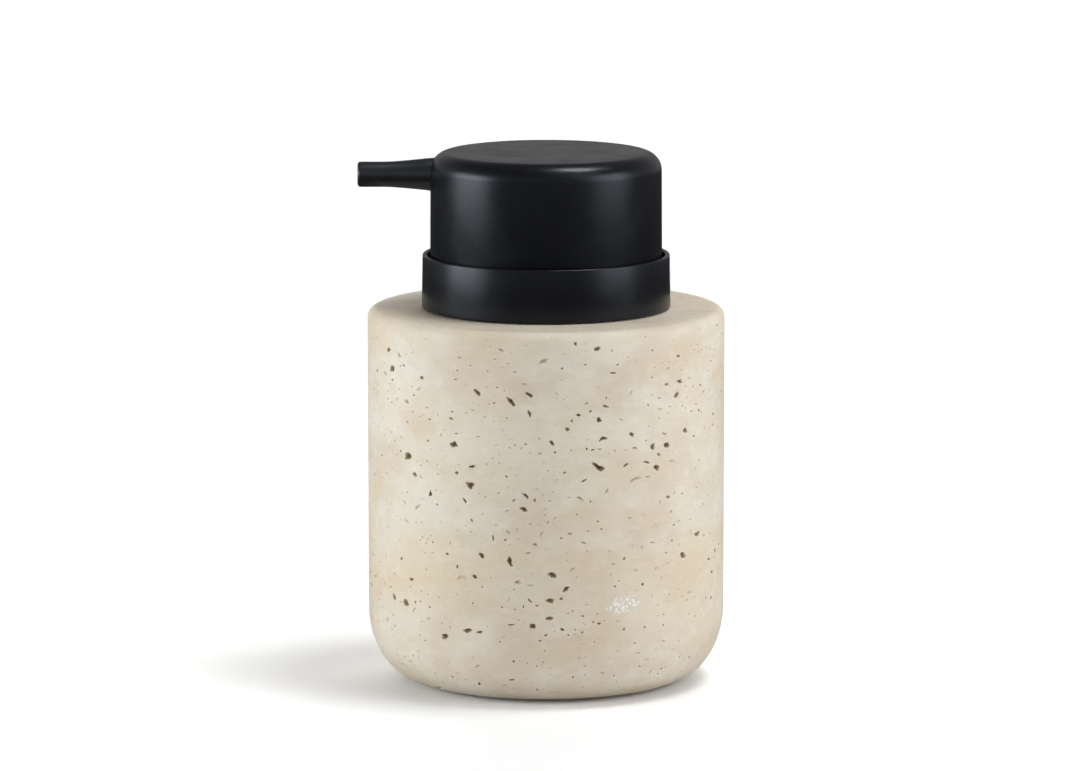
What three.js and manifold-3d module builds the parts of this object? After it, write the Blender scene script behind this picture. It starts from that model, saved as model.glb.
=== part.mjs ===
// Soap pump dispenser: a travertine vessel with a plastic liner, and a push-fit pump with a wide press cap.
// Millimetres, +Z up. The origin is the centre of the base pad's underside, and the nozzle points to -X.
import * as THREE from "three";
import { mergeVertices } from "three/addons/utils/BufferGeometryUtils.js";
import Module from "manifold-3d";

const wasm = await Module();
wasm.setup();

// ---- Clearances -------------------------------------------------------------------------------------
const seatGap = 0.05; // between faces that rest on or are bonded to each other
const dropInGap = 0.3; // around a piece that drops into a bore
const snapGap = 0.2; // around pieces that are pushed or snapped together
const slideGap = 0.06; // at a wiping lip
const stopGap = 0.4; // left between moving and fixed pieces at the end of the stroke

// ---- Stone vessel -----------------------------------------------------------------------------------
const bodyDiameter = 79.2;
const bodyHeight = 82.8;
const footInset = 11; // half axes of the elliptical rounding at the foot
const footRise = 16;
const rimRounding = 2;
const boreFloor = 9;
const padDiameter = 46;
const padThickness = 1.5;
const padProud = 0.5;
const linerWall = 1.2;
const linerFlangeWidth = 1.3;
const linerFlangeThickness = 1.2;
const linerCornerRounding = 3;

// ---- Collar and mouth plug --------------------------------------------------------------------------
const collarCover = 2.5; // how far the collar reaches past the stone's bore
const collarDraft = 0.2; // radius lost from foot to rim
const collarRimWall = 1.05;
const collarCapGap = 0.65; // radial, from the cap's skirt to the collar
const collarRimRounding = 0.35;
const collarFloor = 1.5;
const collarFloorOverlap = 3; // how far the floor reaches in past the liner's wall
const washerWidth = 1.9;
const washerThickness = 1;
const washerProud = 0.2;
const plugDepth = 12;
const plugWall = 2.6;
const plugDisc = 2;
const plugGap = 0.5; // radial, from the plug's skirt to the liner
const sealHeight = 2;
const sealGrooveDepth = 1.2;
const sealFlare = 0.7;
const snapBead = 0.7;
const snapBeadHeight = 1;
const bossWall = 1.6;
const plugLip = 0.8; // of the skirt below the lower seal
const sealSpacing = 1; // from the plug's disc to the upper seal
const beadLand = 0.3;

// ---- Neck, thread and closure -----------------------------------------------------------------------
const neckDiameter = 25;
const neckBore = 19;
const neckHeight = 9.3; // above the collar's underside
const threadHeight = 1.1;
const threadPitch = 4.2;
const threadTurns = 1.1;
const threadRootWidth = 1.8;
const threadCrestWidth = 0.9;
const threadSink = 0.3; // of a ridge's root into the wall that carries it
const threadEndGap = 0.5; // from the ridge to the neck's rim
const closureThreadTurns = 0.5;
const gasketThickness = 1;
const closureWall = 2.1;
const closureTop = 1.5;
const closureLift = 1.2; // between the collar's floor and the closure's skirt
const closureChamfer = 1;
const neckInset = 0.1; // of the gasket and the barrel's flange from the neck's faces

// ---- Pump engine ------------------------------------------------------------------------------------
const pistonRoom = 2.5; // radial, from the stem to the barrel
const barrelWall = 1.1;
const flangeThickness = 1.35;
const stemDiameter = 7;
const stemBore = 4;
const guideRise = 2.55; // of the stem guide above the barrel's flange
const guideSleeve = 8.4;
const guideFlangeWidth = 1.4;
const guideChamfer = 0.5;
const guideBoreGap = 0.25;
const wiperGrooveWidth = 1.5;
const wiperGrooveDepth = 1.2;
const wiperThickness = 1.1;
const wiperLip = 0.3;
const wiperLipGap = 0.08;
const wiperLipLean = 0.5; // of the wiper's bore, open towards the barrel
const shoulderWidth = 0.8;
const pistonFloat = 1.2; // travel of the piston on the stem
const pistonSleeve = 4;
const pistonBoreGap = 0.1;
const pistonSleeveWall = 1;
const pistonLipWall = 0.69;
const pistonLip = 1.5; // how far the outer cup reaches past the sleeve, up and down
const pistonWeb = 1;
const pistonSealHeight = 1; // of the wiping band at each end of the cup
const pistonRelief = 0.3; // of the cup between its two wiping bands
const pistonReliefRun = 0.4;
const portWidth = 1.6;
const portHeight = 2;
const seatFlange = 2;
const seatConeHeight = 0.55;
const seatSpigot = 2.2;
const seatPlugGap = 0.05;
const seatPlugRise = 3;
const seatPlugSink = 0.5;
const seatFlatShare = 0.55; // of the plug's width left between the flats that let the soap past
const springWire = 0.9;
const springEndPitch = 1.15; // of the closed end turns, in wire diameters
const springSpigotGap = 0.6;
const spigotTaper = 0.5;
const springRoom = 1.35; // radial, from the spring to the barrel
const springTurns = 7.5;
const springCompressed = 15.5;
const cageDisc = 1.2;
const cageBoss = 1.8;
const cageSpigot = 1;
const cageBore = 2.8;
const cageSlotWidth = 1.6;
const cageSlotHeight = 1.2;
const ballDiameter = 5;
const ballTravel = 1.6;
const chamberRoom = 0.7; // radial, around the ball
const inletBore = 3.4;
const inletLength = 1.5;
const tailWall = 1.2;
const chamberShoulder = 3;
const tubeDiameter = 5.9;
const tubeBore = 4.4;
const tubeSocket = 8.5;
const tubeFloorGap = 2;
const ventDiameter = 1;

// ---- Press cap, core and nozzle ---------------------------------------------------------------------
const capDiameter = 51.2; // below the top rounding
const capDraft = 0.1; // radius gained from there to the skirt
const capRounding = 4;
const capInnerRounding = 2;
const capWall = 1.8;
const capTop = 1.6;
const skirtCover = 0.9; // of the skirt hidden below the collar's rim
const pressStroke = 9;
const coreHeight = 9.1;
const coreDisc = 1.25;
const coreEdgeGap = 0.15; // from the disc's edge up to the cap's inner rounding
const coreStemGap = 0.05;
const coreChannel = 3.4;
const outletWall = 1.15;
const outletInset = 0.95; // of the outlet's open end from the disc's edge
const channelOverrun = 0.5; // keeps the crossing channels' faces off each other's edges
const cutOverrun = 1; // of a cutter past the face it opens
const coreBeadGap = 0.4;
const capBead = 0.1;
const capBeadRamp = 0.3;
const capBeadHeight = 1.2;
const skirtChamfer = 0.4;
const coreSocketRoof = 0.8; // between the stem's socket and the outlet channel
const hubDiameter = 11;
const ribThickness = 1.2;
const ribHeight = 4.5;
const ribCount = 6;
const ribInset = 1.5; // of the ribs' ends from the disc's edge
const nozzleReach = 41.7; // from the dispenser's axis to the tip
const nozzleDrop = 5.05; // of its axis below the cap's top face
const nozzleTipDiameter = 5.6;
const nozzleTipLength = 6;
const nozzleRootDiameter = 7.3;
const nozzleTipRounding = 0.6;
const nozzleBore = 3;
const shankDiameter = 4.8;
const shankInnerEnd = 10; // where the shank ends, from the dispenser's axis
const nozzleSaddleGap = 0.15;
const nozzleFlarePower = 1.4;
const nozzleSink = 4; // how far the spout and its shank reach past the cap's side before they are cut

// ---- Facets -----------------------------------------------------------------------------------------
const wideSides = 48;
const boreSides = 32;
const smallSides = 24;

// ---- Radii and levels that follow from the sizes above ----------------------------------------------
const capR = capDiameter / 2;
const capInnerR = capR - capWall;
const collarR = capR + capDraft + collarCapGap + collarRimWall + collarDraft;
const bodyR = bodyDiameter / 2;
const boreR = collarR - collarCover;
const linerOuterR = boreR - dropInGap;
const linerR = linerOuterR - linerWall;
const linerFlangeR = linerOuterR + linerFlangeWidth;
const collarHoleR = linerR - collarFloorOverlap;
const washerR = linerR + snapGap; // inner radius, over the liner's flange
const plugR = linerR - plugGap;
const bossR = collarHoleR - dropInGap;
const neckR = neckDiameter / 2;
const closureR = neckR + threadHeight + dropInGap;
const stemR = stemDiameter / 2;
const barrelR = stemR + pistonRoom;
const springR = barrelR - springRoom - springWire / 2;
const flangeR = neckR - neckInset;
const guideR = barrelR + guideFlangeWidth;
const springSpigotR = springR - springWire / 2 - springSpigotGap;
const shoulderHeight = pistonLip + stopGap; // keeps the raised piston's cup below the stem guide
const shoulderR = stemR + shoulderWidth;
const pistonSleeveR = stemR + pistonBoreGap + pistonSleeveWall;
const pistonCupR = barrelR - slideGap - pistonLipWall;
const ballR = ballDiameter / 2;
const chamberR = ballR + chamberRoom;
const tubeR = tubeDiameter / 2;
const nozzleTipR = nozzleTipDiameter / 2;
const shankR = shankDiameter / 2;

const stoneTop = padProud + bodyHeight;
const linerBottom = padProud + boreFloor + seatGap;
const linerFloorTop = linerBottom + linerWall;
const collarBottom = stoneTop + washerProud;
const collarFloorTop = collarBottom + collarFloor;
const skirtBottom = collarFloorTop + stopGap + pressStroke;
const collarRim = skirtBottom + skirtCover;
const plugTop = collarBottom - seatGap;
const neckTop = collarBottom + neckHeight;
const flangeBottom = neckTop + gasketThickness + 2 * seatGap;
const flangeTop = flangeBottom + flangeThickness;
const closureTopFace = flangeTop + seatGap + closureTop;
const closureBottom = collarFloorTop + closureLift;
const guideBottom = flangeTop + seatGap - guideSleeve;
const guideTop = flangeTop + seatGap + guideRise;
const hubBottom = guideTop + stopGap + pressStroke;
const capUnderside = hubBottom + coreHeight + seatGap;
const capTopFace = capUnderside + capTop;
const nozzleAxis = capTopFace - nozzleDrop;
const stemTop = nozzleAxis - nozzleBore / 2 - coreSocketRoof;
const shoulderTop = guideBottom - 2 * seatGap;
const pistonBottom = shoulderTop - shoulderHeight - pistonFloat - pistonSleeve;
const stemBottom = pistonBottom + seatGap;
const seatTop = pistonBottom - seatGap;
const seatBottom = seatTop - seatConeHeight - seatFlange;
const springTop = seatBottom - seatGap;
const springBottom = springTop - springCompressed - pressStroke;
const cageBottom = springBottom - seatGap - cageDisc;
const barrelLedge = cageBottom - seatGap;
const ballRestTop = cageBottom - cageSpigot - ballTravel;
const ballCentre = ballRestTop - ballR;
const inletTop = ballCentre + inletBore / 2 - Math.SQRT2 * (ballR + seatGap); // foot of the 45 degree seat
const tubeTop = inletTop - inletLength;
const tailBottom = tubeTop - tubeSocket;

// ---- Materials --------------------------------------------------------------------------------------
function material(color, roughness, metalness = 0) {
  return new THREE.MeshStandardMaterial({ color, roughness, metalness });
}
const travertine = material(0xd9cbb4, 0.6);
const blackPlastic = material(0x1d1e21, 0.4);
const innerPlastic = material(0xe9e9e4, 0.5);
const clearPlastic = material(0xdfe3e2, 0.35);
const silicone = material(0xc9ccca, 0.7);
const padFoam = material(0x2a2a2a, 0.9);
const steel = material(0xb9bcc0, 0.3, 1);

// ---- Shape helpers ----------------------------------------------------------------------------------
// Points on an arc in a profile, angles in degrees from the +r direction towards +z.
function arc(r, z, radius, from, to, steps) {
  return Array.from({ length: steps + 1 }, (_, i) => {
    const a = THREE.MathUtils.degToRad(from + ((to - from) * i) / steps);
    return [r + radius * Math.cos(a), z + radius * Math.sin(a)];
  });
}

// Signed area of a profile; positive when it runs anticlockwise in the (r, z) plane.
function signedArea(points) {
  return points.reduce((sum, [r, z], i) => {
    const [nextR, nextZ] = points[(i + 1) % points.length];
    return sum + (r * nextZ - nextR * z) / 2;
  }, 0);
}

// A solid of revolution about Z from a profile of [r, z] points.
function turned(profile, sides) {
  const points = signedArea(profile) > 0 ? [...profile] : [...profile].reverse();
  const onAxis = points[0][0] === 0 && points.at(-1)[0] === 0;
  if (!onAxis) points.push(points[0]);
  const lathe = new THREE.LatheGeometry(
    points.map(([r, z]) => new THREE.Vector2(r, z)),
    sides,
  );
  return lathe.rotateX(Math.PI / 2);
}

function ring(innerR, outerR, height, sides) {
  return turned([[innerR, 0], [outerR, 0], [outerR, height], [innerR, height]], sides);
}

function disc(radius, height, sides) {
  return turned([[0, 0], [radius, 0], [radius, height], [0, height]], sides);
}

// A round bar of the given length, pointing to -X from the dispenser's axis plus start.
function barAlongX(radius, start, length, sides) {
  return disc(radius, length, sides).rotateY(-Math.PI / 2).translate(-start, 0, 0);
}

function block(width, depth, height) {
  return new THREE.BoxGeometry(width, depth, height);
}

// A geometry as a manifold-3d solid, from its positions alone.
function solid(geometry) {
  const bare = geometry.index ? geometry.toNonIndexed() : geometry.clone();
  bare.deleteAttribute("normal");
  bare.deleteAttribute("uv");
  const merged = mergeVertices(bare, 1e-4);
  const vertProperties = merged.attributes.position.array;
  const triVerts = new Uint32Array(merged.index.array);
  return new wasm.Manifold(new wasm.Mesh({ numProp: 3, vertProperties, triVerts }));
}

function geometryOf(manifold) {
  const mesh = manifold.getMesh();
  return new THREE.BufferGeometry()
    .setAttribute("position", new THREE.BufferAttribute(mesh.vertProperties, 3))
    .setIndex(new THREE.BufferAttribute(mesh.triVerts, 1));
}

function joined(...geometries) {
  return geometries.map(solid).reduce((whole, piece) => whole.add(piece));
}

function cut(geometry, ...cutters) {
  const start = geometry.isBufferGeometry ? solid(geometry) : geometry;
  return geometryOf(cutters.reduce((left, cutter) => left.subtract(solid(cutter)), start));
}

// One helical thread ridge about Z, starting at z = 0. The root and crest radii may be either way round.
function threadRidge(rootR, crestR, turns) {
  const steps = Math.round(turns * smallSides);
  const facetShift = 0.25; // keeps the ridge's edges off the edges of the wall's facets
  const positions = [];
  const index = [];
  for (let i = 0; i <= steps; i++) {
    const angle = ((i + facetShift) / smallSides) * 2 * Math.PI;
    const z = (i / smallSides) * threadPitch;
    const corners = [
      [rootR, -threadRootWidth / 2],
      [crestR, -threadCrestWidth / 2],
      [crestR, threadCrestWidth / 2],
      [rootR, threadRootWidth / 2],
    ];
    for (const [r, offset] of corners) {
      positions.push(r * Math.cos(angle), r * Math.sin(angle), z + offset);
    }
  }
  for (let i = 0; i < steps; i++) {
    for (let k = 0; k < 4; k++) {
      const a = 4 * i + k;
      const b = 4 * i + ((k + 1) % 4);
      index.push(a, a + 4, b, b, a + 4, b + 4);
    }
  }
  const last = 4 * steps;
  index.push(0, 1, 2, 0, 2, 3, last, last + 2, last + 1, last, last + 3, last + 2);
  if (crestR < rootR) index.reverse();
  return new THREE.BufferGeometry()
    .setAttribute("position", new THREE.Float32BufferAttribute(positions, 3))
    .setIndex(index);
}

// Centreline of a compression spring along Z, with one closed turn at each end.
class SpringCurve extends THREE.Curve {
  constructor(length) {
    super();
    this.rise = length - springWire;
    this.endPitch = springWire * springEndPitch;
  }

  getPoint(t) {
    const turn = t * springTurns;
    const active = springTurns - 2;
    const pitch = (this.rise - 2 * this.endPitch) / active;
    const middle = THREE.MathUtils.clamp(turn - 1, 0, active);
    const ends = turn - middle;
    const angle = turn * 2 * Math.PI;
    const z = springWire / 2 + ends * this.endPitch + middle * pitch;
    return new THREE.Vector3(springR * Math.cos(angle), springR * Math.sin(angle), z);
  }
}

// ---- Vessel -----------------------------------------------------------------------------------------
// A quarter of an ellipse from the stone's flat underside to its side.
function footCurve() {
  return arc(0, 0, 1, -90, 0, 8).map(([x, y]) => [bodyR - footInset * (1 - x), footRise * (1 + y)]);
}

function stoneBody() {
  const recessR = padDiameter / 2 + dropInGap;
  const recess = padThickness - padProud + seatGap;
  const counterboreR = linerFlangeR + dropInGap;
  const counterbore = linerFlangeThickness + seatGap;
  return turned(
    [
      [0, recess],
      [recessR, recess],
      [recessR, 0],
      ...footCurve(),
      ...arc(bodyR - rimRounding, bodyHeight - rimRounding, rimRounding, 0, 90, 3),
      [counterboreR, bodyHeight],
      [counterboreR, bodyHeight - counterbore],
      [boreR, bodyHeight - counterbore],
      [boreR, boreFloor],
      [0, boreFloor],
    ],
    wideSides,
  );
}

function soapLiner() {
  const height = stoneTop - linerBottom;
  const flangeUnder = height - linerFlangeThickness;
  const outer = linerCornerRounding;
  const inner = linerCornerRounding - linerWall;
  return turned(
    [
      [0, 0],
      ...arc(linerOuterR - outer, outer, outer, -90, 0, 3),
      [linerOuterR, flangeUnder],
      [linerFlangeR, flangeUnder],
      [linerFlangeR, height],
      [linerR, height],
      ...arc(linerR - inner, linerWall + inner, inner, 0, -90, 3),
      [0, linerWall],
    ],
    wideSides,
  );
}

function basePad() {
  return disc(padDiameter / 2, padThickness, wideSides);
}

// ---- Collar, plug and seals -------------------------------------------------------------------------
function collarRing() {
  const height = collarRim - collarBottom;
  const rimR = collarR - collarDraft;
  const innerR = rimR - collarRimWall;
  const rounding = collarRimRounding;
  const grooveDepth = washerThickness - washerProud + seatGap;
  const grooveIn = washerR - snapGap / 2;
  const grooveOut = washerR + washerWidth + snapGap / 2;
  return turned(
    [
      [collarHoleR, 0],
      [grooveIn, 0],
      [grooveIn, grooveDepth],
      [grooveOut, grooveDepth],
      [grooveOut, 0],
      [collarR - rounding, 0],
      [collarR, rounding],
      ...arc(rimR - rounding, height - rounding, rounding, 0, 90, 2),
      ...arc(innerR + rounding, height - rounding, rounding, 90, 180, 2),
      [innerR, collarFloor],
      [collarHoleR, collarFloor],
    ],
    wideSides,
  );
}

function collarWasher() {
  return ring(washerR, washerR + washerWidth, washerThickness - seatGap, wideSides);
}

// Depths of the two seal grooves' lower edges, measured down from the plug's top face.
const sealDepths = [plugDisc + sealHeight + sealSpacing, plugDepth - sealGrooveDepth];

function mouthPlug() {
  const grooveR = plugR - sealGrooveDepth;
  const grooves = [...sealDepths].reverse().flatMap((depth) => [
    [plugR, -depth - snapGap],
    [grooveR, -depth - snapGap],
    [grooveR, -depth + sealHeight],
    [plugR, -depth + sealHeight],
  ]);
  const bead = collarFloorTop + snapGap - plugTop;
  const body = turned(
    [
      [neckBore / 2, -plugDisc],
      [plugR - plugWall, -plugDisc],
      [plugR - plugWall, -plugDepth - snapGap - plugLip],
      [plugR, -plugDepth - snapGap - plugLip],
      ...grooves,
      [plugR, 0],
      [bossR, 0],
      [bossR, bead],
      [bossR + snapBead, bead],
      [bossR + snapBead, bead + beadLand],
      [bossR, bead + snapBeadHeight],
      [bossR - bossWall, bead + snapBeadHeight],
      [bossR - bossWall, 0],
      [neckR, 0],
      [neckR, neckTop - plugTop],
      [neckBore / 2, neckTop - plugTop],
    ],
    wideSides,
  );
  const thread = threadRidge(neckR - threadSink, neckR + threadHeight, threadTurns);
  return geometryOf(joined(body, thread.translate(0, 0, threadBase())));
}

// Height of the neck thread's start above the plug's top face: its last turn ends just under the neck's rim.
function threadBase() {
  return neckTop - plugTop - threadRootWidth / 2 - threadEndGap - threadTurns * threadPitch;
}

function plugSeal() {
  const innerR = plugR - sealGrooveDepth + seatGap;
  const outerR = linerR - slideGap;
  return turned(
    [
      [innerR, 0],
      [outerR - sealFlare, 0],
      [outerR, sealFlare],
      [outerR, sealHeight - seatGap - sealFlare],
      [outerR - sealFlare, sealHeight - seatGap],
      [innerR, sealHeight - seatGap],
    ],
    wideSides,
  );
}

// ---- Closure and pump engine ------------------------------------------------------------------------
function neckGasket() {
  return ring(neckBore / 2 + neckInset, neckR - neckInset, gasketThickness, boreSides);
}

function closureCap() {
  const height = closureTopFace - closureBottom;
  const outerR = closureR + closureWall;
  const shell = turned(
    [
      [closureR, 0],
      [outerR, 0],
      [outerR, height - closureChamfer],
      [outerR - closureChamfer, height],
      [guideR + dropInGap, height],
      [guideR + dropInGap, height - closureTop],
      [closureR, height - closureTop],
    ],
    wideSides,
  );
  const thread = threadRidge(closureR + threadSink, neckR + dropInGap, closureThreadTurns);
  const start = plugTop + threadBase() + threadPitch / 2 - closureBottom;
  return geometryOf(joined(shell, thread.translate(0, 0, start)));
}

function pumpHousing() {
  const level = (z) => z - flangeBottom;
  const outerR = barrelR + barrelWall;
  const tailR = tubeR + snapGap / 2 + tailWall;
  const chamberOuterR = chamberR + barrelWall;
  const body = turned(
    [
      [barrelR, level(flangeTop)],
      [barrelR, level(barrelLedge)],
      [chamberR, level(barrelLedge)],
      [chamberR, level(inletTop) + chamberR - inletBore / 2],
      [inletBore / 2, level(inletTop)],
      [inletBore / 2, level(tubeTop)],
      [tubeR + snapGap / 2, level(tubeTop)],
      [tubeR + snapGap / 2, level(tailBottom)],
      [tailR, level(tailBottom)],
      [tailR, level(tubeTop)],
      [chamberOuterR, level(inletTop)],
      [chamberOuterR, level(barrelLedge) - chamberShoulder],
      [outerR, level(barrelLedge)],
      [outerR, 0],
      [flangeR, 0],
      [flangeR, level(flangeTop)],
    ],
    boreSides,
  );
  const ventLevel = level(pistonBottom + pistonSleeve / 2);
  const vent = barAlongX(ventDiameter / 2, barrelR - barrelWall, 3 * barrelWall, 8);
  return cut(body, vent.translate(0, 0, ventLevel));
}

function stemGuide() {
  const bore = stemR + guideBoreGap;
  const sleeveR = barrelR - slideGap * 2;
  const grooveR = stemR + wiperGrooveWidth;
  const grooveBottom = guideRise - wiperGrooveDepth;
  return turned(
    [
      [bore, -guideSleeve],
      [sleeveR, -guideSleeve],
      [sleeveR, 0],
      [guideR, 0],
      [guideR, guideRise - guideChamfer],
      [guideR - guideChamfer, guideRise],
      [grooveR, guideRise],
      [grooveR, grooveBottom],
      [bore, grooveBottom],
    ],
    smallSides,
  );
}

function stemWiper() {
  const lipR = stemR + wiperLipGap;
  const outerR = stemR + wiperGrooveWidth - seatGap;
  return turned(
    [
      [lipR + wiperLipLean, 0],
      [outerR, 0],
      [outerR, wiperThickness],
      [lipR, wiperThickness],
      [lipR, wiperThickness - wiperLip],
    ],
    smallSides,
  );
}

function ballCage() {
  const holeR = cageBore / 2;
  const body = turned(
    [
      [holeR, -cageSpigot],
      [chamberR - snapGap, -cageSpigot],
      [chamberR - snapGap, 0],
      [barrelR - snapGap, 0],
      [barrelR - snapGap, cageDisc],
      [springSpigotR, cageDisc],
      [springSpigotR - spigotTaper, cageDisc + cageBoss],
      [holeR, cageDisc + cageBoss],
    ],
    smallSides,
  );
  return cut(
    body,
    block(2 * barrelR, cageSlotWidth, cageSlotHeight).translate(0, 0, -cageSpigot),
    block(cageSlotWidth, 2 * barrelR, cageSlotHeight).translate(0, 0, -cageSpigot),
  );
}

function dipTube() {
  const length = tubeTop - seatGap - linerFloorTop - tubeFloorGap;
  const tube = ring(tubeBore / 2, tubeR, length, smallSides);
  const bevel = block(8 * tubeR, 4 * tubeR, 4 * tubeR)
    .translate(0, 0, -2 * tubeR)
    .rotateY(Math.PI / 5)
    .translate(-tubeR, 0, 0);
  return cut(tube, bevel);
}

function checkBall() {
  return new THREE.SphereGeometry(ballR, 16, 10);
}

// ---- Spring, stem and piston ------------------------------------------------------------------------
function returnSpring() {
  const section = new THREE.Shape().absarc(0, 0, springWire / 2, 0, 2 * Math.PI);
  return new THREE.ExtrudeGeometry(section, {
    steps: Math.round(springTurns * 12),
    curveSegments: 6,
    bevelEnabled: false,
    extrudePath: new SpringCurve(springTop - springBottom),
  });
}

function pistonSeat() {
  const rimR = (pistonSleeveR + pistonCupR) / 2;
  const foot = -seatConeHeight - seatFlange;
  const head = turned(
    [
      [0, foot - seatSpigot],
      [springSpigotR - spigotTaper, foot - seatSpigot],
      [springSpigotR, foot],
      [rimR, foot],
      [rimR, -seatConeHeight],
      [stemR - 2 * seatGap, 0],
      [0, 0],
    ],
    smallSides,
  );
  const plugLength = seatPlugSink + portHeight + seatPlugRise;
  const plug = disc(stemBore / 2 - seatPlugGap, plugLength, smallSides).translate(0, 0, -seatPlugSink);
  const flats = block(stemBore, seatFlatShare * stemBore, 3 * plugLength);
  return geometryOf(solid(plug).intersect(solid(flats)).add(solid(head)));
}

function piston() {
  const innerR = stemR + pistonBoreGap;
  const lipR = barrelR - slideGap;
  const webBottom = (pistonSleeve - pistonWeb) / 2;
  const webTop = webBottom + pistonWeb;
  const cupTop = pistonSleeve + pistonLip;
  const sealRun = pistonSealHeight + pistonReliefRun;
  return turned(
    [
      [innerR, 0],
      [pistonSleeveR, 0],
      [pistonSleeveR, webBottom],
      [pistonCupR, webBottom],
      [pistonCupR, -pistonLip],
      [lipR, -pistonLip],
      [lipR, pistonSealHeight - pistonLip],
      [lipR - pistonRelief, sealRun - pistonLip],
      [lipR - pistonRelief, cupTop - sealRun],
      [lipR, cupTop - pistonSealHeight],
      [lipR, cupTop],
      [pistonCupR, cupTop],
      [pistonCupR, webTop],
      [pistonSleeveR, webTop],
      [pistonSleeveR, pistonSleeve],
      [innerR, pistonSleeve],
    ],
    boreSides,
  );
}

function stem() {
  const shoulder = shoulderTop - stemBottom;
  const tube = turned(
    [
      [stemBore / 2, 0],
      [stemR, 0],
      [stemR, shoulder - shoulderHeight],
      [shoulderR, shoulder - shoulderHeight],
      [shoulderR, shoulder],
      [stemR, shoulder],
      [stemR, stemTop - stemBottom],
      [stemBore / 2, stemTop - stemBottom],
    ],
    smallSides,
  );
  return cut(tube, block(portWidth, 2 * stemDiameter, 2 * portHeight));
}

// ---- Actuator core, cap and nozzle ------------------------------------------------------------------
// How far the cap's inner rounding has come down from its underside at the given radius.
function innerRoundingDrop(radius) {
  const run = radius - (capInnerR - capInnerRounding);
  return capInnerRounding - Math.sqrt(capInnerRounding ** 2 - run ** 2);
}

function actuatorCore() {
  const height = capUnderside - seatGap - hubBottom;
  const axisLevel = nozzleAxis - hubBottom;
  const discR = capInnerR - coreBeadGap;
  const barrelEnd = discR - outletInset;
  const hub = disc(hubDiameter / 2, height, smallSides);
  const ribLength = discR - ribInset;
  // A disc with the plate's bevelled upper edge, from the given level up to the cap's underside.
  const bevelledDisc = (bottom) =>
    turned(
      [
        [0, bottom],
        [discR, bottom],
        [discR, height - innerRoundingDrop(discR) - coreEdgeGap],
        [discR - capInnerRounding, height],
        [0, height],
      ],
      wideSides,
    );
  const plate = bevelledDisc(height - coreDisc);
  const ribs = Array.from({ length: ribCount }, (_, i) =>
    block(ribLength, ribThickness, ribHeight)
      .translate(ribLength / 2, 0, height - coreDisc / 2 - ribHeight / 2)
      .rotateZ(((i + 0.5) * 2 * Math.PI) / ribCount),
  );
  const outlet = barAlongX(shankR + outletWall, 0, barrelEnd, smallSides).translate(0, 0, axisLevel);
  const outletUnderCap = solid(outlet).intersect(solid(bevelledDisc(0)));
  const socketDepth = stemTop + seatGap - hubBottom;
  return cut(
    joined(hub, plate, ...ribs).add(outletUnderCap),
    disc(stemR + coreStemGap, socketDepth + cutOverrun, smallSides).translate(0, 0, -cutOverrun),
    disc(coreChannel / 2, axisLevel + channelOverrun, smallSides),
    barAlongX(nozzleBore / 2, -channelOverrun, barrelEnd, smallSides).translate(0, 0, axisLevel),
    barAlongX(shankR + snapGap / 2, shankInnerEnd - seatGap, barrelEnd, smallSides).translate(0, 0, axisLevel),
  );
}

// The cap's outer outline, grown by the given margin, from the skirt's foot to the axis.
function capOutline(margin) {
  const height = capTopFace - skirtBottom;
  const rounding = capRounding + margin;
  return [
    [capR + capDraft + margin - skirtChamfer, 0],
    [capR + capDraft + margin, skirtChamfer],
    ...arc(capR + margin - rounding, height + margin - rounding, rounding, 0, 90, 6),
    [0, height + margin],
  ];
}

function headCap() {
  const underside = capUnderside - skirtBottom;
  const rounding = capInnerRounding;
  const beadTop = underside - seatGap - coreDisc - seatGap;
  const beadR = capInnerR - coreBeadGap - capBead;
  const skirtInnerR = capInnerR + capDraft;
  const shell = turned(
    [
      [0, underside],
      ...arc(capInnerR - rounding, underside - rounding, rounding, 90, 0, 3).filter(([, z]) => z > beadTop),
      [capInnerR, beadTop],
      [beadR, beadTop - capBeadRamp],
      [beadR, beadTop - 2 * capBeadRamp],
      [capInnerR, beadTop - capBeadHeight],
      [skirtInnerR, 0],
      ...capOutline(0),
    ],
    wideSides,
  );
  const hole = barAlongX(shankR + snapGap, capInnerR - nozzleSink, 3 * nozzleSink, smallSides);
  return cut(shell, hole.translate(0, 0, nozzleAxis - skirtBottom));
}

// The nozzle runs along -X at z = 0, with x = 0 on the dispenser's axis.
function nozzle() {
  const rootR = nozzleRootDiameter / 2;
  const flareStart = capR - nozzleSink;
  const flareEnd = nozzleReach - nozzleTipLength;
  const flareLength = flareEnd - capR;
  const easedR = (t) => nozzleTipR + (rootR - nozzleTipR) * (1 - t) ** nozzleFlarePower;
  const flare = [0, 0.2, 0.4, 0.6, 0.8, 1].map((t) => [easedR(t), capR + t * flareLength]);
  const tip = arc(nozzleTipR - nozzleTipRounding, nozzleReach - nozzleTipRounding, nozzleTipRounding, 0, 90, 3);
  const spout = turned([[0, flareStart], [rootR, flareStart], ...flare, ...tip, [0, nozzleReach]], smallSides);
  const envelope = turned([[0, 0], ...capOutline(nozzleSaddleGap)], wideSides);
  const outer = solid(spout.rotateY(-Math.PI / 2)).subtract(
    solid(envelope.translate(0, 0, skirtBottom - nozzleAxis)),
  );
  const shankLength = capR + nozzleSink / 2 - shankInnerEnd;
  const shank = barAlongX(shankR, shankInnerEnd, shankLength, smallSides);
  const bore = barAlongX(nozzleBore / 2, 0, nozzleReach + cutOverrun, smallSides);
  return cut(outer.add(solid(shank)), bore);
}

// ---- Assembly ---------------------------------------------------------------------------------------
function add(group, name, geometry, finish, level) {
  const mesh = new THREE.Mesh(geometry, finish);
  mesh.name = name;
  mesh.position.z = level - group.position.z;
  group.add(mesh);
}

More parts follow.
